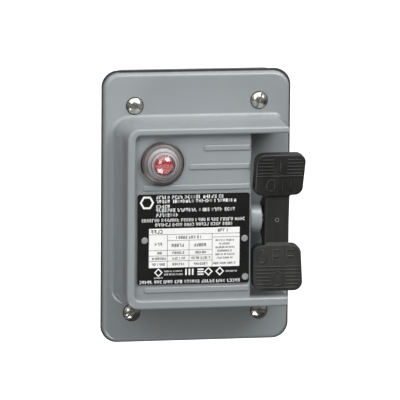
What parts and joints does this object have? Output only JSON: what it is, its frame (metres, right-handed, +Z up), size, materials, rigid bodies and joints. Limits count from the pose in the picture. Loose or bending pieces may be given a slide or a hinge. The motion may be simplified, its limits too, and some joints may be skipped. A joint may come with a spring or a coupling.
{
  "type": "manual motor starting switch",
  "caption": "Wall-mounted manual motor starting switch in a watertight cast box, with a rocker handle, a pilot light and a switch block inside.",
  "frame": {"origin": "centre of the box's back mounting face", "axes": "+Y into the wall, out of the box's back; +Z up; +X right when seen from the front"},
  "size_m": [0.1172, 0.1094, 0.1672],
  "materials": {
    "grey_paint": "gloss enamel",
    "black_rubber": "matte",
    "black_plate": "satin",
    "aluminium": "satin",
    "zinc_steel": "zinc plated",
    "bright_steel": "bright",
    "black_steel": "black oxide",
    "clear_lens": "clear",
    "red_lens": "translucent gloss",
    "lamp_glass": "clear",
    "black_plastic": "fine matte",
    "brown_plastic": "moulded phenolic",
    "lead_insulation": "vinyl",
    "brass": "satin",
    "green_screw": "dyed green"
  },
  "bodies": {
    "enclosure": {"back_box": "grey_paint", "conduit_hub_top": "grey_paint", "conduit_hub_bottom": "grey_paint", "box_gasket": "black_rubber", "front_cover": "grey_paint", "cover_screws": "zinc_steel", "cover_screw_washers": "black_rubber", "nameplate": "black_plate", "nameplate_rivets": "aluminium", "pilot_gasket": "black_rubber", "pilot_lens": "clear_lens", "pilot_jewel": "red_lens", "pilot_lamp": "lamp_glass", "pilot_lamp_holder": "black_plastic", "pilot_locknut": "zinc_steel", "pilot_leads": "lead_insulation", "shaft_bushing": "grey_paint", "shaft_seal": "black_rubber", "bushing_gasket": "black_rubber", "bushing_locknut": "zinc_steel", "toggle_pivot_pin": "bright_steel", "toggle_spring": "bright_steel", "switch_base": "brown_plastic", "switch_cover": "black_plastic", "switch_cover_screws": "zinc_steel", "switch_mounting_screws": "zinc_steel", "terminal_screws": "brass", "ground_screw": "green_screw", "line_terminals": "brass", "load_terminals": "brass"},
    "handle": {"handle_rocker": "black_plastic", "handle_pin": "bright_steel", "operating_shaft": "bright_steel", "shaft_retaining_ring": "bright_steel", "operating_fork": "zinc_steel", "fork_set_screw": "black_steel"},
    "toggle": {"toggle_lever": "black_plastic"},
    "contact_carrier": {"contact_carrier": "brown_plastic", "moving_contacts": "brass", "contact_springs": "bright_steel"}
  },
  "joints": [
    {"name": "handle_rock", "type": "hinge", "parent": "enclosure", "child": "handle", "pos_m": [0.044, -0.0846, -0.0035], "axis": [-1, 0, 0], "range_deg": [0, 9]},
    {"name": "toggle_turn", "type": "hinge", "parent": "enclosure", "child": "toggle", "pos_m": [0, -0.0516, -0.0035], "axis": [1, 0, 0], "range_deg": [0, 40]},
    {"name": "carrier_slide", "type": "slide", "parent": "enclosure", "child": "contact_carrier", "axis": [0, 1, 0], "range_m": [0, 0.00479]}
  ],
  "couplings": [
    {"joint": "toggle_turn", "follows": "handle_rock", "ratio": 4.4444},
    {"joint": "carrier_slide", "follows": "handle_rock", "m_per_rad": 0.030481}
  ]
}
